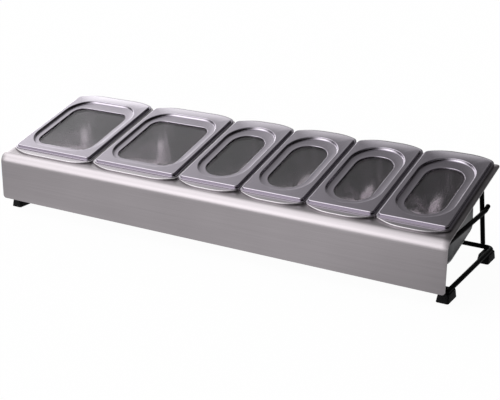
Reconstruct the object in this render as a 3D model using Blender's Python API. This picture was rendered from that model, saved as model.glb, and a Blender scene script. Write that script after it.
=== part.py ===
"""Countertop topping station: a row of lidded steel pans hung in a sloping sheet deck on a bent wire frame.

Sizes are metres. X runs along the row, Y from front to back, Z up from the table.
Pans, lids and windows are modelled in the deck's own frame: u along the row, v up the slope, n out of the deck.
"""

import math
from collections import namedtuple

import bmesh
import bpy
from mathutils import Euler, Matrix, Vector

# Arrangement of the row
DECK_TILT = math.radians(15.5)
RIM_HEIGHT = 0.1031
LARGE_PANS = 2
SMALL_PANS = 4
LARGE_MODULE = 0.162
SMALL_MODULE = 0.108
MODULE_LENGTH = 0.176
RIM_GAP = 0.0005
FIT_GAP = 0.0003

# Folded sheet
SHEET_THICKNESS = 0.0015
SIDE_MARGIN = 0.007
APRON_REACH = 0.025
APRON_GROUND_GAP = 0.0202
BEND_RADIUS = 0.010
BEND_STEPS = 8
REAR_MARGIN = 0.003
SHEET_CORNER = 0.005
OPENING_CLEARANCE = 0.0034
OPENING_CORNER = 0.030

# Pans
PAN_STEEL = 0.0008
PAN_DEPTH = 0.0960
LARGE_SIDE_RIM = 0.0180
LARGE_END_RIM = 0.0140
LARGE_WALL_CORNER = 0.0365
SMALL_SIDE_RIM = 0.0155
SMALL_END_RIM = 0.0150
SMALL_WALL_CORNER = 0.0370
PAN_TAPER = 0.0034
PAN_FLOOR_RADIUS = 0.0160
PAN_MOUTH_RADIUS = 0.0070
RIM_CORNER = 0.004
RIM_LIP = 0.0024
RIM_EDGE_RADIUS = 0.0008
FRONT_BOW = 0.0130
BACK_BOW = 0.0140
BOW_RUN = 0.045
BOW_POWER = 2.2

# Lids and windows
LID_STEEL = 0.0008
LID_TOP = 0.0048
LARGE_LID_MARGIN = 0.0068
SMALL_LID_MARGIN = 0.0035
LID_END_MARGIN = 0.0003
LID_CORNER = 0.005
LID_EDGE_RADIUS = 0.0008
DISH_SPREAD = 0.0035
DISH_RUN = 0.0020
DISH_LEVEL = -0.0008
LARGE_WINDOW_WIDTH = 0.109
LARGE_WINDOW_LENGTH = 0.123
LARGE_WINDOW_CORNER = 0.018
SMALL_WINDOW_WIDTH = 0.059
SMALL_WINDOW_LENGTH = 0.119
SMALL_WINDOW_CORNER = 0.028
BEAD_WIDTH = 0.0016
BEAD_HEIGHT = 0.0006
WINDOW_OVERLAP = 0.0030
WINDOW_THICKNESS = 0.0020

# Wire frame
ROD_RADIUS = 0.0035
ROD_SIDES = 12
SIDE_WIRE_INSET = 0.0061
SIDE_RAIL_DROP = 0.0231
SIDE_RAIL_SHORTFALL = 0.0015
SIDE_RAIL_TIP_LENGTH = 0.0120
SIDE_RAIL_TIP_RISE = 0.0045
SIDE_RAIL_TIP_BEND = 0.010
SIDE_WIRE_TOP_BEND = 0.028
SIDE_WIRE_TOE_BEND = 0.020
TOE_END = 0.0135
BASE_HEIGHT = 0.0148
REAR_RAIL_SETBACK = 0.0110
BASE_CORNER = 0.009
BASE_FRONT_END = -0.0020
BEND_POINTS = 7

# Feet
FOOT_HEIGHT = 0.0130
FOOT_LENGTH = 0.0335
FOOT_WIDTH = 0.0187
FOOT_OUTER_WALL = 0.0005
FOOT_INNER_FLARE = 0.0018
FOOT_OUTER_FLARE = 0.0010
FOOT_END_FLARE = 0.0024
FOOT_CORNER = 0.003
FRONT_FOOT_OVERHANG = 0.0052
REAR_FOOT_SETBACK = 0.0317

# Fineness of the meshes
CORNER_STEPS = 6
RIM_EDGE_STEPS = 8
SMOOTH_ANGLE = math.radians(35)
LEAST_RADIUS = 0.0002
WELD_DISTANCE = 0.00001
CUT_TOLERANCE = 0.000001

# Places that follow from the sizes above
ROW_WIDTH = LARGE_PANS * LARGE_MODULE + SMALL_PANS * SMALL_MODULE
ROD_PITCH = 2 * ROD_RADIUS + FIT_GAP
SIDE_WIRE_X = ROW_WIDTH / 2 - SIDE_WIRE_INSET
POST_X = SIDE_WIRE_X - ROD_PITCH
BASE_WIRE_X = SIDE_WIRE_X + ROD_PITCH
SIDE_RAIL_HEIGHT = RIM_HEIGHT - SIDE_RAIL_DROP
SIDE_RAIL_END = MODULE_LENGTH - SIDE_RAIL_SHORTFALL
REAR_RAIL_Y = MODULE_LENGTH + REAR_RAIL_SETBACK
FRONT_FOOT_START = BASE_FRONT_END - FRONT_FOOT_OVERHANG
REAR_FOOT_START = REAR_RAIL_Y - REAR_FOOT_SETBACK
DECK_TOP = -(RIM_LIP + FIT_GAP)
FRONT_LINE_Y = (APRON_REACH - REAR_RAIL_Y - ROD_RADIUS) / 2

# What sets the two sizes of pan, lid and window apart
Size = namedtuple("Size", "count module side_rim end_rim wall_corner lid_margin window")
Window = namedtuple("Window", "width length corner")
SIZES = {
    "large": Size(
        LARGE_PANS,
        LARGE_MODULE,
        LARGE_SIDE_RIM,
        LARGE_END_RIM,
        LARGE_WALL_CORNER,
        LARGE_LID_MARGIN,
        Window(LARGE_WINDOW_WIDTH, LARGE_WINDOW_LENGTH, LARGE_WINDOW_CORNER),
    ),
    "small": Size(
        SMALL_PANS,
        SMALL_MODULE,
        SMALL_SIDE_RIM,
        SMALL_END_RIM,
        SMALL_WALL_CORNER,
        SMALL_LID_MARGIN,
        Window(SMALL_WINDOW_WIDTH, SMALL_WINDOW_LENGTH, SMALL_WINDOW_CORNER),
    ),
}


def material(name, colour, roughness, metallic, alpha=1.0):
    """A plain Principled material."""
    made = bpy.data.materials.new(name)
    made.use_nodes = True
    shader = made.node_tree.nodes["Principled BSDF"]
    shader.inputs["Base Color"].default_value = (*colour, 1.0)
    shader.inputs["Roughness"].default_value = roughness
    shader.inputs["Metallic"].default_value = metallic
    shader.inputs["Alpha"].default_value = alpha
    made.diffuse_color = (*colour, alpha)
    return made


def brushed_steel(name):
    return material(name + "_steel", (0.60, 0.58, 0.60), 0.34, 1.0)


def powder_coat(name):
    return material(name + "_powder_coat", (0.012, 0.014, 0.016), 0.42, 0.0)


def black_rubber(name):
    return material(name + "_rubber", (0.010, 0.010, 0.012), 0.70, 0.0)


def clear_plastic(name):
    return material(name + "_plastic", (0.62, 0.62, 0.64), 0.12, 0.0, 0.35)


def add_object(name, mesh, look, collection):
    """Link a mesh to the collection under its node's name, with its material and smooth round faces."""
    mesh.materials.append(look)
    mesh.shade_smooth()
    mesh.set_sharp_from_angle(angle=SMOOTH_ANGLE)
    made = bpy.data.objects.new(name, mesh)
    collection.objects.link(made)
    return made


def mesh_from(bm, name):
    """Turn a closed bmesh into a mesh whose faces point out."""
    bmesh.ops.recalc_face_normals(bm, faces=bm.faces[:])
    mesh = bpy.data.meshes.new(name)
    bm.to_mesh(mesh)
    bm.free()
    return mesh


def mesh_from_curve(curve_object):
    """Read a curve as a mesh in world space, with its loose caps welded, and remove the curve."""
    graph = bpy.context.evaluated_depsgraph_get()
    mesh = bpy.data.meshes.new_from_object(curve_object.evaluated_get(graph))
    mesh.transform(curve_object.matrix_world)
    bm = bmesh.new()
    bm.from_mesh(mesh)
    bmesh.ops.remove_doubles(bm, verts=bm.verts[:], dist=WELD_DISTANCE)
    bpy.data.objects.remove(curve_object)
    bpy.data.meshes.remove(mesh)
    return bm


def outline(half_width, half_length, corner, front_bow=0.0, back_bow=0.0):
    """Points anticlockwise round a rounded rectangle, from its front left corner.

    Its front and back edges may bow outwards. Every outline has as many points, so any two can be lofted.
    """
    radius = max(min(corner, half_width - LEAST_RADIUS, half_length - LEAST_RADIUS), LEAST_RADIUS)
    corners = ((-1, -1, math.pi), (1, -1, 1.5 * math.pi), (1, 1, 0.0), (-1, 1, 0.5 * math.pi))
    points = []
    for side, end, start in corners:
        centre = Vector((side * (half_width - radius), end * (half_length - radius)))
        for step in range(CORNER_STEPS + 1):
            angle = start + 0.5 * math.pi * step / CORNER_STEPS
            points.append(centre + radius * Vector((math.cos(angle), math.sin(angle))))
        if side * end > 0:
            reach = half_width - radius
            for step in range(1, RIM_EDGE_STEPS):
                across = math.cos(math.pi * step / RIM_EDGE_STEPS)
                points.append(Vector((end * reach * across, end * half_length)))
    for point in points:
        bow = back_bow if point.y > 0 else -front_bow
        point.y += bow * bow_share(half_width - abs(point.x))
    return points


def bow_share(inset):
    """How far the bowed edge has come out, from 0 at the corner to 1 along its straight middle."""
    if inset >= BOW_RUN:
        return 1.0
    return 1.0 - (1.0 - max(inset, 0.0) / BOW_RUN) ** BOW_POWER


def loft(name, rings, closed):
    """A solid skinned through rings of points: closed on itself, or capped at its first and last ring."""
    bm = bmesh.new()
    rows = [[bm.verts.new(point) for point in ring] for ring in rings]
    count = len(rows[0])
    pairs = list(zip(rows, rows[1:]))
    if closed:
        pairs.append((rows[-1], rows[0]))
    for lower, upper in pairs:
        for index in range(count):
            after = (index + 1) % count
            bm.faces.new((lower[index], lower[after], upper[after], upper[index]))
    if not closed:
        bm.faces.new(reversed(rows[0]))
        bm.faces.new(rows[-1])
    return mesh_from(bm, name)


def ring_at(points, level):
    return [Vector((point.x, point.y, level)) for point in points]


def pan_rim(size, inset, level):
    """A ring of the pan's rim, drawn in by inset."""
    half_width = (size.module - RIM_GAP) / 2 - inset
    half_length = MODULE_LENGTH / 2 - inset
    points = outline(half_width, half_length, RIM_CORNER - inset, FRONT_BOW, BACK_BOW)
    return ring_at(points, level)


def pan_wall(size, inset, level):
    """A ring of the pan's body, drawn in by inset from the top of its straight wall."""
    half_width = size.module / 2 - size.side_rim - inset
    half_length = MODULE_LENGTH / 2 - size.end_rim - inset
    return ring_at(outline(half_width, half_length, size.wall_corner - inset), level)


def pan_mesh(name, size):
    """A deep drawn pan: turned-down rim, rounded mouth, tapered wall and rounded floor."""
    arc_share = 1 - math.sqrt(0.5)
    mouth_middle = arc_share * PAN_MOUTH_RADIUS
    outer_mouth = PAN_MOUTH_RADIUS - PAN_STEEL
    outer_mouth_middle = PAN_STEEL + arc_share * outer_mouth
    floor_middle = PAN_TAPER + arc_share * PAN_FLOOR_RADIUS
    wall_end = PAN_FLOOR_RADIUS - PAN_DEPTH
    floor_middle_level = arc_share * PAN_FLOOR_RADIUS - PAN_DEPTH
    rings = [
        pan_wall(size, PAN_TAPER + PAN_FLOOR_RADIUS, -PAN_DEPTH),
        pan_wall(size, floor_middle, floor_middle_level),
        pan_wall(size, PAN_TAPER, wall_end),
        pan_wall(size, 0.0, -PAN_MOUTH_RADIUS),
        pan_wall(size, -mouth_middle, -mouth_middle),
        pan_wall(size, -PAN_MOUTH_RADIUS, 0.0),
        pan_rim(size, RIM_EDGE_RADIUS, 0.0),
        pan_rim(size, 0.0, -RIM_EDGE_RADIUS),
        pan_rim(size, 0.0, -RIM_LIP),
        pan_rim(size, PAN_STEEL, -RIM_LIP),
        pan_rim(size, PAN_STEEL, -PAN_STEEL),
        pan_wall(size, -PAN_MOUTH_RADIUS, -PAN_STEEL),
        pan_wall(size, -outer_mouth_middle, -outer_mouth_middle),
        pan_wall(size, -PAN_STEEL, -PAN_MOUTH_RADIUS),
        pan_wall(size, PAN_TAPER - PAN_STEEL, wall_end),
        pan_wall(size, floor_middle - PAN_STEEL, floor_middle_level - PAN_STEEL),
        pan_wall(size, PAN_TAPER + PAN_FLOOR_RADIUS, -PAN_DEPTH - PAN_STEEL),
    ]
    return loft(name, rings, closed=False)


def lid_edge(size, inset, level):
    """A ring of the lid's outer edge, drawn in by inset."""
    half_width = size.module / 2 - size.lid_margin - inset
    half_length = MODULE_LENGTH / 2 - LID_END_MARGIN - inset
    return ring_at(outline(half_width, half_length, LID_CORNER - inset), level)


def window_ring(size, outset, level):
    """A ring round the window opening, spread by outset."""
    half_width = size.window.width / 2 + outset
    half_length = size.window.length / 2 + outset
    return ring_at(outline(half_width, half_length, size.window.corner + outset), level)


def lid_mesh(name, size):
    """A pressed lid: turned-down edge, flat border, steep dish and a bead round the window opening."""
    dish_top = -DISH_SPREAD
    dish_foot = DISH_RUN - DISH_SPREAD
    rings = [
        lid_edge(size, 0.0, FIT_GAP),
        lid_edge(size, 0.0, LID_TOP - LID_EDGE_RADIUS),
        lid_edge(size, LID_EDGE_RADIUS, LID_TOP),
        pan_wall(size, dish_top, LID_TOP),
        pan_wall(size, dish_foot, DISH_LEVEL),
        window_ring(size, BEAD_WIDTH, DISH_LEVEL),
        window_ring(size, BEAD_WIDTH - BEAD_HEIGHT, DISH_LEVEL + BEAD_HEIGHT),
        window_ring(size, 0.0, DISH_LEVEL + BEAD_HEIGHT),
        window_ring(size, 0.0, DISH_LEVEL - LID_STEEL),
        pan_wall(size, dish_foot, DISH_LEVEL - LID_STEEL),
        pan_wall(size, dish_top, LID_TOP - LID_STEEL),
        lid_edge(size, LID_STEEL, LID_TOP - LID_STEEL),
        lid_edge(size, LID_STEEL, FIT_GAP),
    ]
    return loft(name, rings, closed=True)


def window_mesh(name, size):
    """A clear panel held under the lid's dish, wider than the opening all round."""
    top = DISH_LEVEL - LID_STEEL - FIT_GAP
    rings = [
        window_ring(size, WINDOW_OVERLAP, top - WINDOW_THICKNESS),
        window_ring(size, WINDOW_OVERLAP, top),
    ]
    return loft(name, rings, closed=False)


def add_pan_sets(collection, deck):
    """Pans along the row, each with its lid and window, all hung from the deck's frame."""
    left = -ROW_WIDTH / 2
    for label, size in SIZES.items():
        for number in range(1, size.count + 1):
            pan_name = f"pan_{label}_{number}"
            lid_name = f"lid_{label}_{number}"
            window_name = f"window_{label}_{number}"
            pan = add_object(pan_name, pan_mesh(pan_name, size), brushed_steel(pan_name), collection)
            lid = add_object(lid_name, lid_mesh(lid_name, size), brushed_steel(lid_name), collection)
            window = add_object(window_name, window_mesh(window_name, size), clear_plastic(window_name), collection)
            pan.location = (left + size.module / 2, MODULE_LENGTH / 2, 0)
            pan.parent = deck
            lid.parent = pan
            window.parent = lid
            left += size.module


def flat_blank(width, length, opening_centre, opening_width, opening_length):
    """The sheet before folding: a rounded plate with the pans' opening cut through it."""
    curve = bpy.data.curves.new("sheet_outline", "CURVE")
    curve.dimensions = "2D"
    curve.fill_mode = "BOTH"
    curve.extrude = SHEET_THICKNESS / 2
    plate = outline(width / 2, length / 2, SHEET_CORNER)
    hole = outline(opening_width / 2, opening_length / 2, OPENING_CORNER)
    for points, centre in ((plate, length / 2), (hole, opening_centre)):
        spline = curve.splines.new("POLY")
        spline.points.add(len(points) - 1)
        for target, point in zip(spline.points, points):
            target.co = (point.x, point.y + centre, 0, 1)
        spline.use_cyclic_u = True
    made = bpy.data.objects.new("sheet_outline", curve)
    bpy.context.scene.collection.objects.link(made)
    return mesh_from_curve(made)


def add_steel_deck(collection):
    """One sheet folded along its front: the apron hangs down from the bend, the deck slopes up behind it."""
    turn = math.pi / 2 - DECK_TILT
    tangent = BEND_RADIUS * math.tan(turn / 2)
    # Where the outer faces of apron and deck would meet, seen from the pans' front line
    corner = Vector((0, -APRON_REACH, (DECK_TOP - APRON_REACH * math.sin(DECK_TILT)) / math.cos(DECK_TILT)))
    apron_length = RIM_HEIGHT + corner.z - tangent - APRON_GROUND_GAP
    arc_length = BEND_RADIUS * turn
    corner_v = corner.y * math.cos(DECK_TILT) + corner.z * math.sin(DECK_TILT)
    deck_start = apron_length + arc_length
    deck_start_v = corner_v + tangent
    deck_length = MODULE_LENGTH + REAR_MARGIN - deck_start_v
    side_rim = min(size.side_rim for size in SIZES.values())
    end_rim = min(size.end_rim for size in SIZES.values())
    opening_width = ROW_WIDTH - 2 * (side_rim - OPENING_CLEARANCE)
    opening_length = MODULE_LENGTH - 2 * (end_rim - OPENING_CLEARANCE)
    opening_centre = deck_start + MODULE_LENGTH / 2 - deck_start_v
    bm = flat_blank(
        ROW_WIDTH + 2 * SIDE_MARGIN, deck_start + deck_length, opening_centre, opening_width, opening_length
    )
    for step in range(BEND_STEPS + 1):
        fold_line = Vector((0, apron_length + arc_length * step / BEND_STEPS, 0))
        whole = bm.verts[:] + bm.edges[:] + bm.faces[:]
        bmesh.ops.bisect_plane(bm, geom=whole, dist=CUT_TOLERANCE, plane_co=fold_line, plane_no=(0, 1, 0))
    bend_centre = Vector((0, corner.y + BEND_RADIUS, corner.z - tangent))
    for vert in bm.verts:
        along = vert.co.y
        outward = vert.co.z - SHEET_THICKNESS / 2
        angle = min(max((along - apron_length) / BEND_RADIUS, 0.0), turn)
        facing = Vector((0, -math.cos(angle), math.sin(angle)))
        place = bend_centre + (BEND_RADIUS + outward) * facing
        if along < apron_length:
            place.z -= apron_length - along
        if along > deck_start:
            place += (along - deck_start) * Vector((0, math.cos(DECK_TILT), math.sin(DECK_TILT)))
        vert.co = Vector((vert.co.x, place.y, place.z))
    made = add_object("steel_deck", mesh_from(bm, "steel_deck"), brushed_steel("steel_deck"), collection)
    made.location = (0, FRONT_LINE_Y, RIM_HEIGHT)


def filleted(corners, radii):
    """A path through the corner points, each inner one rounded by an arc of its radius."""
    points = [corners[0]]
    for before, corner, after, radius in zip(corners, corners[1:], corners[2:], radii):
        inward = (before - corner).normalized()
        onward = (after - corner).normalized()
        half_angle = inward.angle(onward) / 2
        start = corner + inward * radius / math.tan(half_angle)
        centre = corner + (inward + onward).normalized() * radius / math.sin(half_angle)
        axis = inward.cross(onward).normalized()
        turn = math.pi - 2 * half_angle
        for step in range(BEND_POINTS + 1):
            spin = Matrix.Rotation(-turn * step / BEND_POINTS, 3, axis)
            points.append(centre + spin @ (start - centre))
    points.append(corners[-1])
    return points


def rod_bmesh(points, radius):
    """A round rod along the points, with flat ends."""
    curve = bpy.data.curves.new("rod_path", "CURVE")
    curve.dimensions = "3D"
    curve.bevel_depth = radius
    curve.bevel_resolution = (ROD_SIDES - 4) // 2
    curve.use_fill_caps = True
    spline = curve.splines.new("POLY")
    spline.points.add(len(points) - 1)
    for target, point in zip(spline.points, points):
        target.co = (*point, 1)
    made = bpy.data.objects.new("rod_path", curve)
    bpy.context.scene.collection.objects.link(made)
    return mesh_from_curve(made)


def add_rod(name, points, origin, collection):
    """A rod whose object sits at its origin point, with the path given from there."""
    mesh = mesh_from(rod_bmesh(points, ROD_RADIUS), name)
    made = add_object(name, mesh, powder_coat(name), collection)
    made.location = origin
    return made


def base_wire_path():
    """The U of the base, seen from the middle of the pans' front line on the table."""
    front_left = Vector((-BASE_WIRE_X, BASE_FRONT_END, BASE_HEIGHT))
    rear_left = Vector((-BASE_WIRE_X, REAR_RAIL_Y, BASE_HEIGHT))
    rear_right = Vector((BASE_WIRE_X, REAR_RAIL_Y, BASE_HEIGHT))
    front_right = Vector((BASE_WIRE_X, BASE_FRONT_END, BASE_HEIGHT))
    return filleted([front_left, rear_left, rear_right, front_right], [BASE_CORNER, BASE_CORNER])


def side_wire_path(side):
    """Rail under the deck with its tip turned up, bend behind the apron, leg, and a toe along the base wire."""
    leg_y = -APRON_REACH + SHEET_THICKNESS + FIT_GAP + ROD_RADIUS
    x = side * SIDE_WIRE_X
    corners = [
        Vector((x, SIDE_RAIL_END, SIDE_RAIL_HEIGHT + SIDE_RAIL_TIP_RISE)),
        Vector((x, SIDE_RAIL_END - SIDE_RAIL_TIP_LENGTH, SIDE_RAIL_HEIGHT)),
        Vector((x, leg_y, SIDE_RAIL_HEIGHT)),
        Vector((x, leg_y, BASE_HEIGHT)),
        Vector((x, TOE_END, BASE_HEIGHT)),
    ]
    return filleted(corners, [SIDE_RAIL_TIP_BEND, SIDE_WIRE_TOP_BEND, SIDE_WIRE_TOE_BEND])


def add_wires(collection):
    origin = Vector((0, FRONT_LINE_Y, 0))
    add_rod("base_wire", base_wire_path(), origin, collection)
    for side, label in ((-1, "left"), (1, "right")):
        add_rod("side_wire_" + label, side_wire_path(side), origin, collection)


def add_rear_posts(collection):
    """Straight posts, square to the deck, from the rear rail up to the underside of the sheet."""
    rail = Vector((0, FRONT_LINE_Y + REAR_RAIL_Y, BASE_HEIGHT))
    upright = Vector((0, -math.sin(DECK_TILT), math.cos(DECK_TILT)))
    underside = DECK_TOP - SHEET_THICKNESS - FIT_GAP
    rim_line = Vector((0, FRONT_LINE_Y, RIM_HEIGHT))
    reach = underside - (rail - rim_line).dot(upright)
    foot = ROD_RADIUS + FIT_GAP
    for side, label in ((-1, "left"), (1, "right")):
        points = [Vector((0, 0, foot)), Vector((0, 0, reach))]
        post = add_rod("rear_post_" + label, points, rail + Vector((side * POST_X, 0, 0)), collection)
        post.rotation_euler = Euler((DECK_TILT, 0, 0))


def foot_mesh(name, side, start_y):
    """A rubber block that widens towards the table."""
    outer = BASE_WIRE_X + ROD_RADIUS + FIT_GAP + FOOT_OUTER_WALL
    inner = outer + FOOT_OUTER_FLARE - FOOT_WIDTH
    bottom = (inner, outer + FOOT_OUTER_FLARE, start_y, start_y + FOOT_LENGTH)
    top = (inner + FOOT_INNER_FLARE, outer, start_y + FOOT_END_FLARE, start_y + FOOT_LENGTH - FOOT_END_FLARE)
    rings = []
    for (low_x, high_x, low_y, high_y), level in ((bottom, 0.0), (top, FOOT_HEIGHT)):
        middle = Vector((side * (low_x + high_x) / 2, (low_y + high_y) / 2))
        shape = outline((high_x - low_x) / 2, (high_y - low_y) / 2, FOOT_CORNER)
        rings.append(ring_at([point + middle for point in shape], level))
    return loft(name, rings, closed=False)


def add_feet(collection, cutters):
    """Four feet, each grooved by the wires that pass over it."""
    for side, hand in ((-1, "left"), (1, "right")):
        for place, start_y in (("front", FRONT_FOOT_START), ("rear", REAR_FOOT_START)):
            name = f"foot_{place}_{hand}"
            foot = add_object(name, foot_mesh(name, side, start_y), black_rubber(name), collection)
            foot.location = (0, FRONT_LINE_Y, 0)
            paths = [base_wire_path()]
            if place == "front":
                paths.append(side_wire_path(side))
            for number, path in enumerate(paths):
                groove = mesh_from(rod_bmesh(path, ROD_RADIUS + FIT_GAP), f"{name}_groove_{number}")
                cutter = bpy.data.objects.new(groove.name, groove)
                cutters.objects.link(cutter)
                cutter.location = foot.location
                cutter.hide_render = True
                cutter.display_type = "WIRE"
                cut = foot.modifiers.new("groove", "BOOLEAN")
                cut.operation = "DIFFERENCE"
                cut.solver = "EXACT"
                cut.object = cutter


def build():
    for leftover in list(bpy.data.objects):
        bpy.data.objects.remove(leftover)
    station = bpy.data.collections.new("topping_station")
    cutters = bpy.data.collections.new("cutters")
    bpy.context.scene.collection.children.link(station)
    bpy.context.scene.collection.children.link(cutters)
    deck_frame = bpy.data.objects.new("deck_frame", None)
    deck_frame.location = (0, FRONT_LINE_Y, RIM_HEIGHT)
    deck_frame.rotation_euler = Euler((DECK_TILT, 0, 0))
    station.objects.link(deck_frame)
    add_steel_deck(station)
    add_wires(station)
    add_rear_posts(station)
    add_feet(station, cutters)
    add_pan_sets(station, deck_frame)


build()
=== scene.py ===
"""Looks of the topping station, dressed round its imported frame.

Lengths are in metres. X runs along the row of pans, Y to the back and Z up from the table. Pans, lids and
windows are modelled level, with their middle over the origin, and are then laid on the sloping deck.
"""

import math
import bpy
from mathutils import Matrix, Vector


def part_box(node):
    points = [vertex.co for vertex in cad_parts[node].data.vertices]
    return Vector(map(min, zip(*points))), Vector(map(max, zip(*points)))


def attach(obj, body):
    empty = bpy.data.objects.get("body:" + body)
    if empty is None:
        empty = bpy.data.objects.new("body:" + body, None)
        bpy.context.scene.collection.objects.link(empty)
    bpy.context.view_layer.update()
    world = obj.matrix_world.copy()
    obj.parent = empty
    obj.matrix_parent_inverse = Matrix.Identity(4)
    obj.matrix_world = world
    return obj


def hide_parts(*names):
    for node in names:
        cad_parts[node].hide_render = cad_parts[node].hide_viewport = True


bl_info = {
    "name": "Topping Station",
    "version": (1, 0, 0),
    "blender": (4, 5, 0),
    "location": "3D View > Sidebar > Station",
    "description": "Dresses the topping station and sets its stage",
    "category": "Object",
}

import bmesh
import bpy
from bpy.props import FloatProperty, FloatVectorProperty, IntProperty, PointerProperty
from bpy.types import Operator, Panel, PropertyGroup
from mathutils import Matrix, Vector

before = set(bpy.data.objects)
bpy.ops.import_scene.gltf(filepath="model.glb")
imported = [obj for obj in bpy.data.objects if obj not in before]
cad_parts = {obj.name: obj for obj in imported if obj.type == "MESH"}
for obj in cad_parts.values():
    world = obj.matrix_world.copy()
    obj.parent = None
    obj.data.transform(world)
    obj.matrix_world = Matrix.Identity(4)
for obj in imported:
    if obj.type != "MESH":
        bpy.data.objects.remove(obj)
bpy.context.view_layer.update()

STATION = "station"
LEFT_AND_RIGHT = ((-1, "left"), (1, "right"))


def length(name, description, default):
    return FloatProperty(name=name, description=description, default=default, unit="LENGTH", precision=5)


def colour(name, description, default):
    return FloatVectorProperty(
        name=name, description=description, default=default, subtype="COLOR", size=3, min=0, max=1
    )


class StationSizes(PropertyGroup):
    """Sizes that several pieces share"""

    deck_tilt: FloatProperty(
        name="Deck tilt", description="Slope of the deck", default=math.radians(15.5), subtype="ANGLE"
    )
    rim_height: length("Rim height", "Height of the pans' front line above the table", 0.1031)
    front_line: length("Front line", "Where the pans' front line lies from front to back", -0.08275)
    module_length: length("Module length", "Length of a pan along the slope", 0.176)
    fit_gap: length("Fit gap", "Space between pieces that touch", 0.0003)
    pan_steel: length("Pan steel", "Thickness of a pan's sheet", 0.0008)
    pan_depth: length("Pan depth", "Depth of a pan", 0.096)
    pan_taper: length("Pan taper", "How far a pan's wall comes in", 0.0034)
    mouth_radius: length("Mouth radius", "Rounding of a pan's mouth", 0.007)
    floor_radius: length("Floor radius", "Rounding round a pan's floor", 0.016)
    rim_lip: length("Rim lip", "Drop of a pan's turned-down edge", 0.0024)
    front_bow: length("Front bow", "How far a pan's rim bows to the front", 0.013)
    back_bow: length("Back bow", "How far a pan's rim bows to the back", 0.014)
    lid_steel: length("Lid steel", "Thickness of a lid's sheet", 0.0008)
    lid_top: length("Lid top", "Height of a lid above the rim", 0.0048)
    lid_foot: length("Lid foot", "How far a lid's lower edge is turned out", 0.0032)
    lid_bow: length("Lid bow", "How far a lid's back border reaches over the pan's bowed rim", 0.0118)
    roll_run: length("Roll run", "How far before the pan's end a lid's border starts to roll down", 0.011)
    roll_radius: length("Roll radius", "Radius in which a lid's back border rolls down", 0.070)
    dish_spread: length("Dish spread", "How far a lid's dish is wider than the pan's wall", 0.0035)
    dish_run: length("Dish run", "How far the dish's wall comes in", 0.002)
    dish_level: length("Dish level", "Height of the dish's floor above the rim", 0.0012)
    window_turn: length("Window turn", "Rounding of a lid's edge that turns down to its window", 0.0008)
    window_drop: length("Window drop", "Depth of the edge that a lid turns down to its window", 0.0014)
    window_shift: length("Window shift", "How far a window lies before its lid's middle", 0.005)
    sheet_thickness: length("Sheet thickness", "Thickness of the folded sheet", 0.0015)
    bend_radius: length("Bend radius", "Outer radius of the sheet's bend", 0.016)
    apron_reach: length("Apron reach", "How far the apron stands before the front line", 0.025)
    apron_clearance: length("Apron clearance", "Height of the apron's lower edge", 0.0202)
    rod_radius: length("Rod radius", "Radius of the coated rods", 0.00349)
    base_height: length("Base height", "Height of the base wire's middle", 0.0148)
    rail_height: length("Rail height", "Height of the side rails' middle", 0.080)
    side_wire_x: length("Side wire", "Distance of a side wire from the middle", 0.3719)
    rear_rail: length("Rear rail", "Distance of the rear rail behind the front line", 0.187)
    corner_steps: IntProperty(
        name="Corner steps", description="Faces round a corner", default=12, min=3, max=32
    )
    edge_steps: IntProperty(
        name="Edge steps", description="Cuts along a bowed edge", default=17, min=3, max=64
    )


class StationFinishes(PropertyGroup):
    """Colours that a user would change"""

    sheet: colour("Sheet", "Brushed sheet of the deck and apron", (0.312, 0.289, 0.303))
    pan: colour("Pan", "Drawn steel of the pans", (0.415, 0.392, 0.412))
    # Painted shade: the pans' outsides lie in shade under the deck and are given a near-black colour.
    pan_outside_painted_shade: colour("Pan outside", "Dull outside of the pans", (0.075, 0.075, 0.080))
    lid: colour("Lid", "Pressed steel of the lids", (0.318, 0.293, 0.333))
    window: colour("Window", "Clear plastic of the windows", (0.90, 0.90, 0.92))
    coat: colour("Coat", "Powder coat of the wires", (0.0015, 0.0018, 0.0022))
    rubber: colour("Rubber", "Rubber of the feet", (0.0045, 0.0045, 0.0050))
    floor: colour("Floor", "Studio floor", (0.95, 0.95, 0.95))


class PanSize:
    """What sets one size of pan, lid and window apart."""

    def __init__(self, count, module, side_rim, end_rim, wall_corner, lid_margin, window):
        self.count = count
        self.module = module
        self.side_rim = side_rim
        self.end_rim = end_rim
        self.wall_corner = wall_corner
        self.lid_margin = lid_margin
        self.window_width, self.window_length, self.window_corner = window


PAN_SIZES = {
    "large": PanSize(
        count=2, module=0.162, side_rim=0.0180, end_rim=0.0140, wall_corner=0.0365, lid_margin=0.0068,
        window=(0.109, 0.123, 0.020),
    ),
    "small": PanSize(
        count=4, module=0.108, side_rim=0.0155, end_rim=0.0150, wall_corner=0.0370, lid_margin=0.0035,
        window=(0.059, 0.121, 0.028),
    ),
}
ROW_WIDTH = sum(size.count * size.module for size in PAN_SIZES.values())


def sizes():
    return bpy.context.scene.station_sizes


def finishes():
    return bpy.context.scene.station_finishes


def deck_matrix(x, along):
    """From a level frame to one that lies on the deck, at a place along the row and up the slope."""
    s = sizes()
    origin = Matrix.Translation((0, s.front_line, s.rim_height))
    return origin @ Matrix.Rotation(s.deck_tilt, 4, "X") @ Matrix.Translation((x, along, 0))


def pan_places():
    """The label, size and middle of each place in the row, from the left."""
    left = -ROW_WIDTH / 2
    for label, size in PAN_SIZES.items():
        for number in range(1, size.count + 1):
            yield f"{label}_{number}", size, left + size.module / 2
            left += size.module


def heading(azimuth, elevation):
    """The direction that lies so many degrees to the left of straight back and so many above level."""
    turn = math.radians(azimuth)
    rise = math.radians(elevation)
    return (-math.sin(turn) * math.cos(rise), math.cos(turn) * math.cos(rise), math.sin(rise))


# Shader maths


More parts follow.
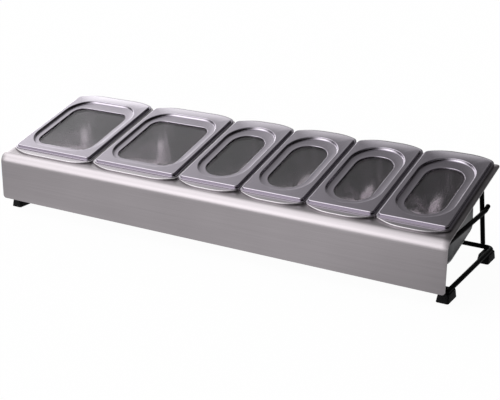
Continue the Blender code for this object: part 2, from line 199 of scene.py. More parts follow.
class Value:
    """A number that varies over a surface: a socket with arithmetic."""

    def __init__(self, shader, socket):
        self.shader = shader
        self.socket = socket

    def _with(self, operation, first, second):
        return self.shader.node("ShaderNodeMath", {"operation": operation}, {0: first, 1: second})

    def __add__(self, other):
        return self._with("ADD", self, other)

    def __radd__(self, other):
        return self._with("ADD", other, self)

    def __sub__(self, other):
        return self._with("SUBTRACT", self, other)

    def __rsub__(self, other):
        return self._with("SUBTRACT", other, self)

    def __mul__(self, other):
        return self._with("MULTIPLY", self, other)

    def __rmul__(self, other):
        return self._with("MULTIPLY", other, self)

    def __truediv__(self, other):
        return self._with("DIVIDE", self, other)

    def __rtruediv__(self, other):
        return self._with("DIVIDE", other, self)


class Shader:
    """The nodes of a material or a world, and one way to add any node to them."""

    def __init__(self, owner):
        owner.use_nodes = True
        self.owner = owner
        self.tree = owner.node_tree

    def node(self, kind, settings=None, inputs=None, output=0):
        made = self.tree.nodes.new(kind)
        for name, value in (settings or {}).items():
            if name == "stops":
                self._set_stops(made.color_ramp, value)
            else:
                setattr(made, name, value)
        for key, value in (inputs or {}).items():
            self.feed(made.inputs[key], value)
        return Value(self, made.outputs[output])

    def feed(self, socket, value):
        if isinstance(value, Value):
            self.tree.links.new(value.socket, socket)
        else:
            socket.default_value = value

    def _set_stops(self, ramp, stops):
        while len(ramp.elements) < len(stops):
            ramp.elements.new(1.0)
        for element, (place, grey) in zip(ramp.elements, stops):
            element.position = place
            element.color = (grey, grey, grey, 1.0)

    def noise(self, stretch, tilt=0.0, detail=3.0, roughness=0.55):
        """Noise on Object coordinates, laid along the deck if tilted. Its grain is finer as stretch grows."""
        coordinates = self.node("ShaderNodeTexCoord", output="Object")
        turned = self.node("ShaderNodeMapping", {}, {"Vector": coordinates, "Rotation": (-tilt, 0, 0)})
        place = self.node("ShaderNodeMapping", {}, {"Vector": turned, "Scale": stretch})
        inputs = {"Vector": place, "Scale": 1.0, "Detail": detail, "Roughness": roughness}
        return self.node("ShaderNodeTexNoise", {}, inputs)

    def ramp(self, value, stops):
        return self.node("ShaderNodeValToRGB", {"stops": stops}, {0: value})

    def mix(self, share, first, second):
        settings = {"data_type": "RGBA", "blend_type": "MIX"}
        return self.node("ShaderNodeMix", settings, {0: share, 6: first, 7: second}, output=2)

    def bump(self, height, strength, distance):
        inputs = {"Strength": strength, "Distance": distance, "Height": height}
        return self.node("ShaderNodeBump", {}, inputs)

    def coordinate(self, vector, axis):
        return self.node("ShaderNodeSeparateXYZ", {}, {0: vector}, output="XYZ".index(axis))

    def set(self, **inputs):
        """Feeds the Principled surface, whose sockets are named with underscores, and gives the material."""
        for name, value in inputs.items():
            self.feed(self.tree.nodes["Principled BSDF"].inputs[name.replace("_", " ")], value)
        return self.owner


def new_shader(name):
    return Shader(bpy.data.materials.new(name))


def shaded(tint, factor):
    return (*(min(channel * factor, 1.0) for channel in tint), 1.0)


# Materials, where a stretch is how many times a noise repeats in a metre along each axis


def brushed_sheet():
    """Stainless sheet with long grain along the row, fine and coarse, and faint cloudy wear."""
    fine_stretch = (6.0, 900.0, 900.0)
    coarse_stretch = (1.6, 160.0, 160.0)
    cloud_stretch = (7.0, 9.0, 9.0)
    darkest, lightest = 0.86, 1.13
    bump_strength, bump_height = 0.10, 0.0002
    shader = new_shader("brushed_sheet")
    tint = finishes().sheet
    fine = shader.noise(fine_stretch, detail=4.0, roughness=0.7)
    coarse = shader.noise(coarse_stretch)
    cloud = shader.noise(cloud_stretch, sizes().deck_tilt, detail=2.0)
    grain = fine * 0.65 + coarse * 0.35
    shade = shader.ramp(grain * 0.7 + cloud * 0.3, [(0.30, 0.0), (0.70, 1.0)])
    return shader.set(
        Base_Color=shader.mix(shade, shaded(tint, darkest), shaded(tint, lightest)),
        Roughness=grain * 0.16 + cloud * 0.08 + 0.20,
        Metallic=1.0,
        Normal=shader.bump(grain, bump_strength, bump_height),
    )


def painted_light_share(shader):
    """How far down a pan's wall a place lies, from 0 at its mouth to 1 where the painted light on the drawn
    wall is brightest.
    """
    ramps_per_metre = -60.0
    s = sizes()
    coordinates = shader.node("ShaderNodeTexCoord", output="Object")
    back = shader.coordinate(coordinates, "Y") - s.front_line
    height = shader.coordinate(coordinates, "Z") - s.rim_height
    above = height * math.cos(s.deck_tilt) - back * math.sin(s.deck_tilt)
    return shader.ramp(above * ramps_per_metre, [(0.10, 0.0), (0.70, 1.0)])


def drawn_steel(name, tint, least_rough, painted_light_factor=None):
    """Satin stainless, with short draw marks up the slope and faint smudges.

    Where a factor for painted light is given, the colour turns to that much of it down a pan's wall: a
    painted light inside the pan.
    """
    mark_stretch = (900.0, 60.0, 120.0)
    smudge_stretch = (14.0, 14.0, 14.0)
    darkest, lightest = 0.96, 1.04
    darkest_painted_light = 0.94
    bump_strength, bump_height = 0.01, 0.00002
    shader = new_shader(name)
    tilt = sizes().deck_tilt
    marks = shader.noise(mark_stretch, tilt, roughness=0.6)
    smudge = shader.noise(smudge_stretch, tilt, detail=2.0)
    shade = shader.ramp(marks * 0.6 + smudge * 0.4, [(0.28, 0.0), (0.72, 1.0)])
    base = shader.mix(shade, shaded(tint, darkest), shaded(tint, lightest))
    # Painted light: the colour grows brighter down a pan's wall, standing in for light inside the pan.
    if painted_light_factor:
        painted_light_base = shader.mix(shade, shaded(tint, darkest_painted_light * painted_light_factor), shaded(tint, painted_light_factor))
        base = shader.mix(painted_light_share(shader), base, painted_light_base)
    return shader.set(
        Base_Color=base,
        Roughness=marks * 0.05 + smudge * 0.06 + least_rough,
        Metallic=1.0,
        Normal=shader.bump(marks, bump_strength, bump_height),
    )


def clear_plastic():
    """Clear moulded panel. Its skin reflects a little, with handling marks, and lets the rest through."""
    mark_stretch = (26.0, 26.0, 26.0)
    darkest, lightest = 0.97, 1.03
    reflecting_share = 0.060
    shader = new_shader("clear_plastic")
    tint = finishes().window
    marks = shader.noise(mark_stretch, sizes().deck_tilt, detail=4.0, roughness=0.6)
    return shader.set(
        Base_Color=shader.mix(marks, shaded(tint, darkest), shaded(tint, lightest)),
        Roughness=marks * 0.03 + 0.04,
        Metallic=1.0,
        Alpha=reflecting_share,
    )


def powder_coat():
    """Black powder coat with its fine orange peel."""
    peel_stretch = (1100.0, 1100.0, 1100.0)
    patch_stretch = (60.0, 60.0, 60.0)
    darkest, lightest = 0.8, 1.3
    bump_strength, bump_height = 0.18, 0.0002
    shader = new_shader("powder_coat")
    tint = finishes().coat
    peel = shader.noise(peel_stretch, detail=2.0)
    patch = shader.noise(patch_stretch, detail=2.0)
    return shader.set(
        Base_Color=shader.mix(patch, shaded(tint, darkest), shaded(tint, lightest)),
        Roughness=peel * 0.14 + patch * 0.08 + 0.32,
        Specular_IOR_Level=0.02,
        Normal=shader.bump(peel, bump_strength, bump_height),
    )


def moulded_rubber():
    """Black rubber, matt, with a fine moulded grain."""
    grain_stretch = (1600.0, 1600.0, 1600.0)
    dust_stretch = (140.0, 140.0, 140.0)
    darkest, lightest = 0.7, 1.6
    bump_strength, bump_height = 0.25, 0.0003
    shader = new_shader("moulded_rubber")
    tint = finishes().rubber
    grain = shader.noise(grain_stretch)
    dust = shader.noise(dust_stretch, detail=4.0)
    return shader.set(
        Base_Color=shader.mix(dust, shaded(tint, darkest), shaded(tint, lightest)),
        Roughness=grain * 0.15 + dust * 0.10 + 0.55,
        Specular_IOR_Level=0.10,
        Normal=shader.bump(grain, bump_strength, bump_height),
    )


# Modelling helpers, with lengths in metres and angles in radians

TOUCHING = 1e-7
ON_END = 1e-6
SHARP_ANGLE = 1.2
BOW_RUN = 0.045
BOW_POWER = 2.2
EDGE_FACES = 4


def round_off(bm, geometry, offset, segments, affect="EDGES", clamp_overlap=False):
    """Rounds edges or corners with arcs of a circle."""
    bmesh.ops.bevel(
        bm, geom=geometry, offset=offset, offset_type="OFFSET", segments=segments, profile=0.5,
        affect=affect, material=-1, clamp_overlap=clamp_overlap,
    )


def outline(bm, half_width, half_length, corner, level, front_bow=0.0, back_bow=0.0):
    """An edge loop round a rounded rectangle, laid while the mesh has no faces. Its ends may bow outwards."""
    s = sizes()
    known = set(bm.edges)
    plate = bmesh.ops.create_grid(bm, x_segments=1, y_segments=1, size=1.0)["verts"]
    bmesh.ops.scale(bm, vec=(half_width, half_length, 1), verts=plate)
    bmesh.ops.translate(bm, vec=(0, 0, level), verts=plate)
    round_off(bm, plate, corner, s.corner_steps, affect="VERTICES")
    bmesh.ops.delete(bm, geom=bm.faces[:], context="FACES_ONLY")
    loop = [edge for edge in bm.edges if edge not in known]
    ends = [edge for edge in loop if min(abs(vert.co.y) for vert in edge.verts) > half_length - ON_END]
    bmesh.ops.subdivide_edges(bm, edges=ends, cuts=s.edge_steps)
    loop = [edge for edge in bm.edges if edge not in known]
    for vert in loop_verts(loop):
        bow = back_bow if vert.co.y > 0 else -front_bow
        vert.co.y += bow * bow_share(half_width - abs(vert.co.x))
    return loop


def loop_verts(loop):
    return {vert for edge in loop for vert in edge.verts}


def bow_share(inset):
    """How far a bowed edge has come out, from 0 at the corner to 1 along its straight middle."""
    if inset >= BOW_RUN:
        return 1.0
    return 1.0 - (1.0 - max(inset, 0.0) / BOW_RUN) ** BOW_POWER


def skin(bm, loops):
    """Joins each edge loop to the next: by a flat ring where they lie level, else by a band of quads."""
    for first, second in zip(loops, loops[1:]):
        if abs(first[0].verts[0].co.z - second[0].verts[0].co.z) < TOUCHING:
            bmesh.ops.triangle_fill(bm, use_beauty=True, use_dissolve=False, edges=first + second)
        else:
            bmesh.ops.bridge_loops(bm, edges=first + second)


def arc_steps(count):
    """Shares of an arc's run and rise at each of its steps after the first."""
    for step in range(1, count + 1):
        angle = math.pi / 2 * step / count
        yield 1 - math.cos(angle), math.sin(angle)


def turn_up(bm):
    """Turns an open, mostly level surface so that its faces look up."""
    bmesh.ops.recalc_face_normals(bm, faces=bm.faces[:])
    if sum(face.normal.z * face.calc_area() for face in bm.faces) < 0:
        bmesh.ops.reverse_faces(bm, faces=bm.faces[:])


def thicken(bm, thickness):
    """Gives an open surface its sheet thickness, behind its faces, and turns all faces out."""
    bmesh.ops.solidify(bm, geom=bm.faces[:], thickness=thickness)
    bmesh.ops.recalc_face_normals(bm, faces=bm.faces[:])


def ease_edges(bm, offset):
    """Rounds the sharp outer edges of a thickened sheet."""
    sharp = [
        edge for edge in bm.edges
        if edge.is_manifold and edge.is_convex and edge.calc_face_angle(0.0) > SHARP_ANGLE
    ]
    round_off(bm, sharp, offset, 2, clamp_overlap=True)


def finish_mesh(bm, name, material, body, replaced, angle=35.0):
    """Makes the mesh an object at the origin that rides on its body and stands for its CAD node."""
    mesh = bpy.data.meshes.new(name)
    bm.to_mesh(mesh)
    bm.free()
    mesh.materials.append(material)
    mesh.shade_smooth()
    mesh.set_sharp_from_angle(angle=math.radians(angle))
    made = bpy.data.objects.new(name, mesh)
    bpy.context.scene.collection.objects.link(made)
    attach(made, body)
    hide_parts(*replaced)
    return made


class StationOperator(Operator):
    """Base of the station's operators"""

    bl_options = {"REGISTER", "UNDO"}


# Folded sheet

SHEET_MARGIN = 0.007
REAR_MARGIN = 0.003
SHEET_CORNER = 0.005
OPENING_SIDE = 0.0121
OPENING_END = 0.0106
OPENING_CORNER = 0.030
SHEET_EASE = 0.00035
FOLD_FACES = 30
FOLD_GUARD = 0.0004


class SheetLayout:
    """The sheet's bend, and where the flat sheet is divided, counted from the apron's lower edge."""

    def __init__(self):
        s = sizes()
        deck_top = -(s.rim_lip + s.fit_gap)
        self.turn = math.pi / 2 - s.deck_tilt
        tangent = s.bend_radius * math.tan(self.turn / 2)
        corner_z = (deck_top - s.apron_reach * math.sin(s.deck_tilt)) / math.cos(s.deck_tilt)
        corner_along = -s.apron_reach * math.cos(s.deck_tilt) + corner_z * math.sin(s.deck_tilt)
        deck_start = corner_along + tangent
        self.apron = s.rim_height + corner_z - tangent - s.apron_clearance
        self.arc = s.bend_radius * self.turn
        self.total = self.apron + self.arc + s.module_length + REAR_MARGIN - deck_start
        self.opening_middle = self.apron + self.arc + s.module_length / 2 - deck_start
        self.bend_middle = Vector((0, -s.apron_reach + s.bend_radius, corner_z - tangent))

    def cuts(self):
        """Where the sheet is cut across, so that it can be folded."""
        folds = [self.apron + self.arc * step / FOLD_FACES for step in range(FOLD_FACES + 1)]
        return [self.apron - FOLD_GUARD, *folds, self.apron + self.arc + FOLD_GUARD]


def flat_sheet(bm, layout):
    """The unfolded sheet with its opening, cut across where it will be folded."""
    s = sizes()
    plate = outline(bm, ROW_WIDTH / 2 + SHEET_MARGIN, layout.total / 2, SHEET_CORNER, 0.0)
    for vert in loop_verts(plate):
        vert.co.y += layout.total / 2 - layout.opening_middle
    half_width = ROW_WIDTH / 2 - OPENING_SIDE
    half_length = s.module_length / 2 - OPENING_END
    opening = outline(bm, half_width, half_length, OPENING_CORNER, 0.0)
    bmesh.ops.triangle_fill(bm, use_beauty=True, use_dissolve=False, edges=plate + opening)
    bmesh.ops.translate(bm, vec=(0, layout.opening_middle, 0), verts=bm.verts[:])
    turn_up(bm)
    for cut in layout.cuts():
        whole = bm.verts[:] + bm.edges[:] + bm.faces[:]
        bmesh.ops.bisect_plane(bm, geom=whole, dist=TOUCHING, plane_co=(0, cut, 0), plane_no=(0, 1, 0))


def fold_sheet(bm, layout):
    """Hangs the apron upright, runs the bend round its middle and tilts the deck behind it."""
    s = sizes()
    up_deck = Vector((0, math.cos(s.deck_tilt), math.sin(s.deck_tilt)))
    top = max(vert.co.z for vert in bm.verts)
    for vert in bm.verts:
        along = vert.co.y
        angle = min(max((along - layout.apron) / s.bend_radius, 0.0), layout.turn)
        facing = Vector((0, -math.cos(angle), math.sin(angle)))
        place = layout.bend_middle + (s.bend_radius + vert.co.z - top) * facing
        if along < layout.apron:
            place.z -= layout.apron - along
        if along > layout.apron + layout.arc:
            place += (along - layout.apron - layout.arc) * up_deck
        vert.co = Vector((vert.co.x, place.y + s.front_line, place.z + s.rim_height))


class STATION_OT_sheet(StationOperator):
    """Fold the steel sheet: apron, bend and sloping deck with its opening"""

    bl_idname = "station.sheet"
    bl_label = "Steel Deck"

    def execute(self, context):
        layout = SheetLayout()
        bm = bmesh.new()
        flat_sheet(bm, layout)
        thicken(bm, sizes().sheet_thickness)
        ease_edges(bm, SHEET_EASE)
        fold_sheet(bm, layout)
        made = finish_mesh(bm, "folded_sheet", brushed_sheet(), STATION, ["steel_deck"], angle=30.0)
        return {"FINISHED"}


# Pans

RIM_GAP = 0.0005
RIM_CORNER = 0.004
RIM_EDGE = 0.0008
FLAT_RING = 0.0005
MOUTH_FACES = 8
FLOOR_FACES = 9
DOWNWARD = 0.02


def pan_surface(bm, size):
    """The pan's inner and upper surface, from the lip's lower edge to the floor."""
    s = sizes()

    def rim(inset, level):
        half_width = (size.module - RIM_GAP) / 2 - inset
        half_length = s.module_length / 2 - inset
        return outline(bm, half_width, half_length, RIM_CORNER - inset, level, s.front_bow, s.back_bow)

    def wall(inset, level):
        half_width = size.module / 2 - size.side_rim - inset
        half_length = s.module_length / 2 - size.end_rim - inset
        return outline(bm, half_width, half_length, size.wall_corner - inset, level)

    loops = [rim(0.0, -s.rim_lip), rim(0.0, -RIM_EDGE)]
    for run, rise in arc_steps(EDGE_FACES):
        loops.append(rim(run * RIM_EDGE, (rise - 1) * RIM_EDGE))
    loops.append(rim(RIM_EDGE + FLAT_RING, 0.0))
    loops += [wall(-s.mouth_radius - 2 * FLAT_RING, 0.0), wall(-s.mouth_radius, 0.0)]
    for run, rise in arc_steps(MOUTH_FACES):
        loops.append(wall(-(1 - rise) * s.mouth_radius, -run * s.mouth_radius))
    wall_end = s.floor_radius - s.pan_depth
    loops.append(wall(s.pan_taper, wall_end))
    for run, rise in arc_steps(FLOOR_FACES):
        loops.append(wall(s.pan_taper + run * s.floor_radius, wall_end - rise * s.floor_radius))
    skin(bm, loops)
    bmesh.ops.edgeloop_fill(bm, edges=loops[-1])


def mark_outside(bm):
    """Gives the faces below the rim that look away from the pan's middle, or down, the second material, which
    is painted shade.
    """
    for face in bm.faces:
        middle = face.calc_center_median()
        outwards = Vector((middle.x, middle.y, -DOWNWARD)).dot(face.normal) > 0
        if outwards and middle.z < -2 * sizes().rim_lip:
            face.material_index = 1


class STATION_OT_pans(StationOperator):
    """Draw the pans: bowed rim with a turned-down lip, rounded mouth, tapered wall, rounded floor"""

    bl_idname = "station.pans"
    bl_label = "Pans"

    def execute(self, context):
        # Painted shade: the outsides of the pans get a near-black steel for the shade under the deck.
        painted_shade_steel = drawn_steel("pan_outside_painted_shade", finishes().pan_outside_painted_shade, 0.30)
        # The pans' steel carries painted light: its colour is up to 1.30 times brighter down the wall.
        steel = drawn_steel("pan_steel", finishes().pan, 0.16, painted_light_factor=1.30)
        for label, size, middle in pan_places():
            bm = bmesh.new()
            pan_surface(bm, size)
            turn_up(bm)
            thicken(bm, sizes().pan_steel)
            mark_outside(bm)
            bm.transform(deck_matrix(middle, sizes().module_length / 2))
            made = finish_mesh(bm, f"drawn_pan_{label}", steel, f"pan_{label}", [f"pan_{label}"])
            made.data.materials.append(painted_shade_steel)
        return {"FINISHED"}


# Lids

LID_CORNER = 0.005
LID_EDGE = 0.0011
LID_EDGE_GUARD = 0.0003
LID_EASE = 0.0003
DISH_SHOULDER = 0.0009
DISH_FOOT = 0.0008
DISH_WALL_SHARE = 0.6
WINDOW_RING = 0.0006


def lid_surface(bm, size):
    """The lid's upper surface, from its turned-out foot to the edge that is turned down to the window."""
    s = sizes()

    def border(inset, level):
        half_width = size.module / 2 - size.lid_margin - inset
        half_length = s.module_length / 2 - s.fit_gap - inset
        return outline(bm, half_width, half_length, LID_CORNER - inset, level, back_bow=s.lid_bow)

    def dish(inset, level):
        half_width = size.module / 2 - size.side_rim + s.dish_spread - inset
        half_length = s.module_length / 2 - size.end_rim + s.dish_spread - inset
        return outline(bm, half_width, half_length, size.wall_corner + s.dish_spread - inset, level)

    def opening(outset, level):
        half_width = size.window_width / 2 + outset
        half_length = size.window_length / 2 + outset
        loop = outline(bm, half_width, half_length, size.window_corner + outset, level)
        for vert in loop_verts(loop):
            vert.co.y -= s.window_shift
        return loop

    foot_level = s.fit_gap + s.lid_steel
    loops = [border(-s.lid_foot, foot_level), border(0.0, foot_level)]
    loops += [border(0.0, s.lid_top - LID_EDGE - LID_EDGE_GUARD), border(0.0, s.lid_top - LID_EDGE)]
    for run, rise in arc_steps(EDGE_FACES):
        loops.append(border(run * LID_EDGE, s.lid_top + (rise - 1) * LID_EDGE))
    loops.append(border(LID_EDGE + FLAT_RING, s.lid_top))
    loops += [dish(-DISH_SHOULDER - FLAT_RING, s.lid_top), dish(-DISH_SHOULDER, s.lid_top)]
    for run, rise in arc_steps(EDGE_FACES):
        loops.append(dish(-(1 - rise) * DISH_SHOULDER, s.lid_top - run * DISH_SHOULDER))
    fall = s.lid_top - s.dish_level
    wall_run = s.dish_run * (1 - DISH_FOOT / fall) * DISH_WALL_SHARE
    loops.append(dish(wall_run, s.dish_level + DISH_FOOT))
    foot_start = s.dish_run * DISH_WALL_SHARE
    for run, rise in arc_steps(EDGE_FACES):
        loops.append(dish(foot_start + run * DISH_FOOT, s.dish_level + (1 - rise) * DISH_FOOT))
    loops.append(opening(s.window_turn + WINDOW_RING, s.dish_level))
    for run, rise in [(0, 0), *arc_steps(EDGE_FACES)]:
        loops.append(opening((1 - rise) * s.window_turn, s.dish_level - run * s.window_turn))
    loops.append(opening(0.0, s.dish_level - s.window_drop))
    skin(bm, loops)


def roll_back(bm):
    """Rolls the lid's back border down towards the pan's rim, with its foot kept on the rim."""
    s = sizes()
    start = s.module_length / 2 - s.roll_run
    for vert in bm.verts:
        past = vert.co.y - start
        if past > 0 and vert.co.z > s.fit_gap:
            share = 1 - past ** 2 / (2 * s.roll_radius) / (s.lid_top - s.fit_gap)
            vert.co.z = s.fit_gap + (vert.co.z - s.fit_gap) * share


class STATION_OT_lids(StationOperator):
    """Press the lids: turned-out foot, flat border, dish and an edge turned down to the window"""

    bl_idname = "station.lids"
    bl_label = "Lids"

    def execute(self, context):
        steel = drawn_steel("lid_steel", finishes().lid, 0.15)
        for label, size, middle in pan_places():
            bm = bmesh.new()
            lid_surface(bm, size)
            turn_up(bm)
            thicken(bm, sizes().lid_steel)
            ease_edges(bm, LID_EASE)
            roll_back(bm)
            bm.transform(deck_matrix(middle, sizes().module_length / 2))
            made = finish_mesh(bm, f"pressed_lid_{label}", steel, f"lid_{label}", [f"lid_{label}"])
        return {"FINISHED"}


# Windows

WINDOW_LAP = 0.003
WINDOW_THICKNESS = 0.002
WINDOW_EASE = 0.0005


def window_panel(bm, size):
    """A flat panel with eased edges that reaches under the lid all round its opening."""
    s = sizes()
    top = s.dish_level - s.window_drop - s.fit_gap
    half_width = size.window_width / 2 + WINDOW_LAP
    half_length = size.window_length / 2 + WINDOW_LAP
    corner = size.window_corner + WINDOW_LAP
    lower = ((WINDOW_EASE, -WINDOW_THICKNESS), (0.0, WINDOW_EASE - WINDOW_THICKNESS))
    upper = ((0.0, -WINDOW_EASE), (WINDOW_EASE, 0.0))
    loops = []
    for inset, level in lower + upper:
        loops.append(outline(bm, half_width - inset, half_length - inset, corner - inset, top + level))
    skin(bm, loops)
    for loop in (loops[0], loops[-1]):
        bmesh.ops.edgeloop_fill(bm, edges=loop)
    bmesh.ops.recalc_face_normals(bm, faces=bm.faces[:])


class STATION_OT_windows(StationOperator):
    """Set a clear panel under each lid's window opening"""

    bl_idname = "station.windows"
    bl_label = "Windows"

    def execute(self, context):
        s = sizes()
        plastic = clear_plastic()
        for label, size, middle in pan_places():
            bm = bmesh.new()
            window_panel(bm, size)
            bm.transform(deck_matrix(middle, s.module_length / 2 - s.window_shift))
            made = finish_mesh(bm, f"clear_window_{label}", plastic, f"lid_{label}", [f"window_{label}"])
        return {"FINISHED"}


# Wire frame

ROD_SIDES = 28
ROD_FACES_PER_RADIAN = 9
ROD_END_SHARE = 0.55
ROD_END_FACES = 5
BASE_FRONT = 0.002
BASE_BEND = 0.009
RAIL_END = 0.1745
RAIL_KINK = 0.1625
RAIL_UPTURN = 0.0045
TOE_END = 0.0135
KINK_BEND, APRON_BEND, TOE_BEND = 0.010, 0.028, 0.020


def draw_rod_on(bm, ring, offset):
    """Extrudes the rod's open end by an offset, and gives the corners and edges of the new end."""
    grown = bmesh.ops.extrude_edge_only(bm, edges=ring)["geom"]
    corners = [item for item in grown if isinstance(item, bmesh.types.BMVert)]
    bmesh.ops.translate(bm, vec=offset, verts=corners)
    known = set(corners)
    edges = [item for item in grown if isinstance(item, bmesh.types.BMEdge) and set(item.verts) <= known]
    return corners, edges


def bent_rod(bm, path, bends, rod_radius):
    """A round rod run through the points of a path and bent at them, with its end edges rounded over."""
    direction = (path[1] - path[0]).normalized()
    start = Matrix.Translation(path[0]) @ direction.to_track_quat("Z", "Y").to_matrix().to_4x4()
    bmesh.ops.create_circle(bm, cap_ends=False, radius=rod_radius, segments=ROD_SIDES, matrix=start)
    first = bm.edges[:]
    ring = first
    here = path[0]
    for point, next_point, bend in zip(path[1:], path[2:], bends):
        inward = (point - here).normalized()
        onward = (next_point - point).normalized()
        turn = inward.angle(onward)
        stop = point - inward * bend * math.tan(turn / 2)
        corners, ring = draw_rod_on(bm, ring, stop - here)
        axis = inward.cross(onward).normalized()
        centre = stop + axis.cross(inward).normalized() * bend
        steps = max(2, round(turn * ROD_FACES_PER_RADIAN))
        spun = bmesh.ops.spin(
            bm, geom=corners + ring, cent=centre, axis=axis, dvec=(0, 0, 0), angle=turn, steps=steps,
            use_duplicate=False,
        )["geom_last"]
        ring = [item for item in spun if isinstance(item, bmesh.types.BMEdge)]
        here = centre + Matrix.Rotation(turn, 3, axis) @ (stop - centre)
    ring = draw_rod_on(bm, ring, path[-1] - here)[1]
    caps = []
    for end in (first, ring):
        caps += bmesh.ops.edgeloop_fill(bm, edges=end)["faces"]
    bmesh.ops.recalc_face_normals(bm, faces=bm.faces[:])
    end_edges = [edge for cap in caps for edge in cap.edges]
    round_off(bm, end_edges, rod_radius * ROD_END_SHARE, ROD_END_FACES)


def rod_pitch():
    """Distance between the middles of two rods that lie side by side."""
    s = sizes()
    return 2 * s.rod_radius + s.fit_gap


def base_wire():
    """Path and bends of the U that lies low inside the feet, open to the front."""
    s = sizes()
    x = s.side_wire_x + rod_pitch()
    front = s.front_line - BASE_FRONT
    back = s.front_line + s.rear_rail
    plan = ((-x, front), (-x, back), (x, back), (x, front))
    return [Vector((*place, s.base_height)) for place in plan], [BASE_BEND, BASE_BEND]


def side_wire(side):
    """Path and bends of a side wire: upturned free end, rail, leg behind the apron, and toe."""
    s = sizes()
    x = side * s.side_wire_x
    leg_y = s.front_line - s.apron_reach + s.sheet_thickness + s.fit_gap + s.rod_radius
    profile = (
        (s.front_line + RAIL_END, s.rail_height + RAIL_UPTURN),
        (s.front_line + RAIL_KINK, s.rail_height),
        (leg_y, s.rail_height),
        (leg_y, s.base_height),
        (s.front_line + TOE_END, s.base_height),
    )
    return [Vector((x, *place)) for place in profile], [KINK_BEND, APRON_BEND, TOE_BEND]


def rear_post(side):
    """Path of a straight post that stands on the rear rail, square to the deck, and ends under it."""
    s = sizes()
    upright = Vector((0, -math.sin(s.deck_tilt), math.cos(s.deck_tilt)))
    deck_under = -(s.rim_lip + 2 * s.fit_gap + s.sheet_thickness)
    rail = Vector((side * (s.side_wire_x - rod_pitch()), s.front_line + s.rear_rail, s.base_height))
    front_line = Vector((0, s.front_line, s.rim_height))
    reach = deck_under - (rail - front_line).dot(upright)
    return [rail + upright * (s.rod_radius + s.fit_gap), rail + upright * reach], []


class STATION_OT_wires(StationOperator):
    """Bend the coated rods: base wire, side wires and rear posts"""

    bl_idname = "station.wires"
    bl_label = "Wire Frame"

    def execute(self, context):
        coat = powder_coat()
        rods = {"base_wire": base_wire()}
        for side, label in LEFT_AND_RIGHT:
            rods[f"side_wire_{label}"] = side_wire(side)
            rods[f"rear_post_{label}"] = rear_post(side)
        for node, (path, bends) in rods.items():
            bm = bmesh.new()
            bent_rod(bm, path, bends, sizes().rod_radius)
            made = finish_mesh(bm, f"coated_{node}", coat, STATION, [node], angle=50.0)
        return {"FINISHED"}


# Feet

INNER_DRAFT = 0.0018
OUTER_DRAFT = 0.0010
END_DRAFT = 0.0024
FOOT_CORNER = 0.003
FOOT_TOP_EDGE = 0.0012
FOOT_SOLE_EDGE = 0.0006
FOOT_CORNER_FACES = 6


def foot_block(bm, low, high, side):
    """A block between two corners that is drawn in towards its top and rounded at its edges."""
    middle = (low + high) / 2
    block = bmesh.ops.create_cube(bm, size=1.0)["verts"]
    bmesh.ops.scale(bm, vec=high - low, verts=block)
    bmesh.ops.translate(bm, vec=middle, verts=block)
    for vert in block:
        if vert.co.z > middle.z:
            inner = (vert.co.x - middle.x) * side < 0
            vert.co.x += side * (INNER_DRAFT if inner else -OUTER_DRAFT)
            vert.co.y += END_DRAFT if vert.co.y < middle.y else -END_DRAFT
    upright = [edge for edge in bm.edges if abs(edge.verts[0].co.z - edge.verts[1].co.z) > TOUCHING]
    round_off(bm, upright, FOOT_CORNER, FOOT_CORNER_FACES)
    faces = sorted(bm.faces, key=lambda face: face.calc_center_median().z)
    for face, offset in ((faces[-1], FOOT_TOP_EDGE), (faces[0], FOOT_SOLE_EDGE)):
        round_off(bm, face.edges[:], offset, EDGE_FACES)


class STATION_OT_feet(StationOperator):
    """Mould the flared rubber feet round the wires"""

    bl_idname = "station.feet"
    bl_label = "Feet"

    def execute(self, context):
        rubber = moulded_rubber()
        for place in ("front", "rear"):
            for side, label in LEFT_AND_RIGHT:
                node = f"foot_{place}_{label}"
                low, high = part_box(node)
                bm = bmesh.new()
                foot_block(bm, low, high, side)
                made = finish_mesh(bm, f"rubber_{node}", rubber, STATION, [node])
        return {"FINISHED"}


# Stage: lights are degrees to the left of straight back, degrees above level, and strength

SOFT_LIGHTS = (
    (60, 10, 4.50), (135, 10, 1.40), (160, 10, 2.50), (70, 30, 0.20), (145, 30, 2.65), (60, 50, 0.30),
    (95, 50, 3.10), (130, 50, 1.40), (165, 50, 0.45), (140, 70, 0.50), (45, 30, 0.35), (-35, 45, 0.15),
)
SPREAD = 18.0
DIM = 0.02
BACKDROP_AZIMUTH = 38.0
BACKDROP_BY_HEIGHT = [(0.25, 1.0), (0.42, 0.80), (0.54, 0.42), (0.64, 0.12), (0.74, 0.02)]
BACKDROP_ACROSS = [(0.50, 0.0), (0.82, 1.0)]

FLOOR_HALF = 12.0
FLOOR_GLOW = 0.97
FLOOR_RUN = 1.2
FLOOR_ALONG_ROW = [
    (0.0, 0.80), (0.12, 0.88), (0.25, 1.0), (0.62, 1.0), (0.72, 0.86), (0.82, 0.68), (1.0, 0.50)
]

CAMERA_PLACE = (0.8286, -1.37475, 0.6100)
CAMERA_AZIMUTH = 30.34
CAMERA_ELEVATION = -19.14
CAMERA_ROLL = 0.31
SENSOR_MM = 36.0
LENS_MM = 78.58


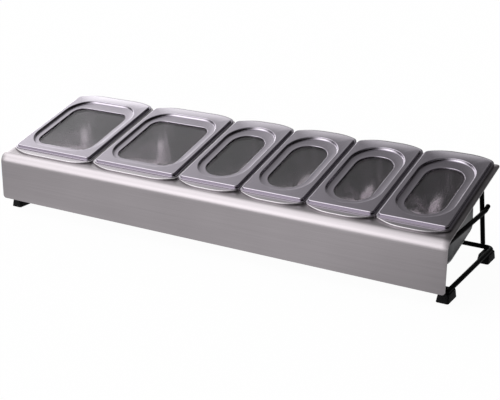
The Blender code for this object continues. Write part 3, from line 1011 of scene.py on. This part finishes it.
def studio_floor():
    """White to the camera. To glossy surfaces it is a little darker towards both ends of the row."""
    shader = new_shader("studio_floor")
    shader.set(Base_Color=(*finishes().floor, 1.0), Roughness=0.9)
    camera_ray, glossy_ray, transmission_ray = (
        shader.node("ShaderNodeLightPath", output=f"Is {kind} Ray")
        for kind in ("Camera", "Glossy", "Transmission")
    )
    seen = camera_ray + glossy_ray + transmission_ray
    share = shader.node("ShaderNodeMath", {"operation": "MINIMUM"}, {0: seen, 1: 1.0}) * FLOOR_GLOW
    along = shader.coordinate(shader.node("ShaderNodeTexCoord", output="Object"), "X")
    shine = shader.ramp(along / FLOOR_RUN + 0.5, FLOOR_ALONG_ROW)
    strength = 1.0 - glossy_ray * (1.0 - shine)
    glow = shader.node("ShaderNodeEmission", {}, {"Color": (1, 1, 1, 1), "Strength": strength})
    surface = Value(shader, shader.tree.nodes["Principled BSDF"].outputs[0])
    both = shader.node("ShaderNodeMixShader", {}, {0: share, 1: surface, 2: glow})
    shader.feed(shader.tree.nodes["Material Output"].inputs["Surface"], both)
    return shader.owner


def lay_floor(scene):
    """The pale floor that the station stands on."""
    bm = bmesh.new()
    bmesh.ops.create_grid(bm, x_segments=1, y_segments=1, size=FLOOR_HALF)
    mesh = bpy.data.meshes.new("studio_floor")
    bm.to_mesh(mesh)
    bm.free()
    mesh.materials.append(studio_floor())
    floor = bpy.data.objects.new("studio_floor", mesh)
    scene.collection.objects.link(floor)


def nearness(shader, away, azimuth, elevation):
    """The cosine of the angle between a direction and a heading."""
    inputs = {0: away, 1: heading(azimuth, elevation)}
    return shader.node("ShaderNodeVectorMath", {"operation": "DOT_PRODUCT"}, inputs, output="Value")


def light_world(scene):
    """A dim studio with a pale backdrop at the back left and soft lights round it, white to the camera."""
    world = bpy.data.worlds.new("studio")
    scene.world = world
    shader = Shader(world)
    away = shader.node("ShaderNodeTexCoord", output="Generated")
    by_height = shader.ramp(shader.coordinate(away, "Z"), BACKDROP_BY_HEIGHT)
    across = shader.ramp(nearness(shader, away, BACKDROP_AZIMUTH, 0), BACKDROP_ACROSS)
    light = by_height * across + DIM
    for azimuth, elevation, strength in SOFT_LIGHTS:
        off_middle = (nearness(shader, away, azimuth, elevation) - 1.0) * SPREAD
        light = light + shader.node("ShaderNodeMath", {"operation": "EXPONENT"}, {0: off_middle}) * strength
    seen = shader.node("ShaderNodeLightPath", output="Is Camera Ray")
    light = light * (1.0 - seen) + seen
    background = shader.tree.nodes["Background"]
    shader.feed(background.inputs["Color"], (1, 1, 1, 1))
    shader.feed(background.inputs["Strength"], light)


def place_camera(scene):
    """The photograph's viewpoint: from the front right and above, with the right side raised a little."""
    azimuth = math.radians(CAMERA_AZIMUTH)
    roll = math.radians(CAMERA_ROLL)
    forward = Vector(heading(CAMERA_AZIMUTH, CAMERA_ELEVATION))
    level = Vector((math.cos(azimuth), math.sin(azimuth), 0))
    upward = level.cross(forward)
    right = level * math.cos(roll) + upward * math.sin(roll)
    top = upward * math.cos(roll) - level * math.sin(roll)
    data = bpy.data.cameras.new("photo_camera")
    data.sensor_width = SENSOR_MM
    data.lens = LENS_MM
    camera = bpy.data.objects.new("photo_camera", data)
    scene.collection.objects.link(camera)
    turn = Matrix((right, top, -forward)).transposed().to_4x4()
    camera.matrix_world = Matrix.Translation(CAMERA_PLACE) @ turn
    scene.camera = camera


class STATION_OT_stage(StationOperator):
    """Set the floor, the soft studio light and the camera"""

    bl_idname = "station.stage"
    bl_label = "Stage"

    def execute(self, context):
        scene = context.scene
        lay_floor(scene)
        light_world(scene)
        place_camera(scene)
        scene.view_settings.view_transform = "Standard"
        return {"FINISHED"}


class STATION_PT_panel(Panel):
    """Lists the station's pieces"""

    bl_idname = "STATION_PT_panel"
    bl_label = "Topping Station"
    bl_space_type = "VIEW_3D"
    bl_region_type = "UI"
    bl_category = "Station"

    def draw(self, context):
        for operator in OPERATORS:
            self.layout.operator(operator.bl_idname)


OPERATORS = (
    STATION_OT_sheet,
    STATION_OT_wires,
    STATION_OT_feet,
    STATION_OT_pans,
    STATION_OT_lids,
    STATION_OT_windows,
    STATION_OT_stage,
)
CLASSES = (StationSizes, StationFinishes, *OPERATORS, STATION_PT_panel)


def register():
    for kind in CLASSES:
        bpy.utils.register_class(kind)
    bpy.types.Scene.station_sizes = PointerProperty(type=StationSizes)
    bpy.types.Scene.station_finishes = PointerProperty(type=StationFinishes)


def unregister():
    del bpy.types.Scene.station_finishes
    del bpy.types.Scene.station_sizes
    for kind in reversed(CLASSES):
        bpy.utils.unregister_class(kind)


def main():
    register()
    for operator in OPERATORS:
        group, name = operator.bl_idname.split(".")
        getattr(getattr(bpy.ops, group), name)()


if __name__ == "__main__":
    main()
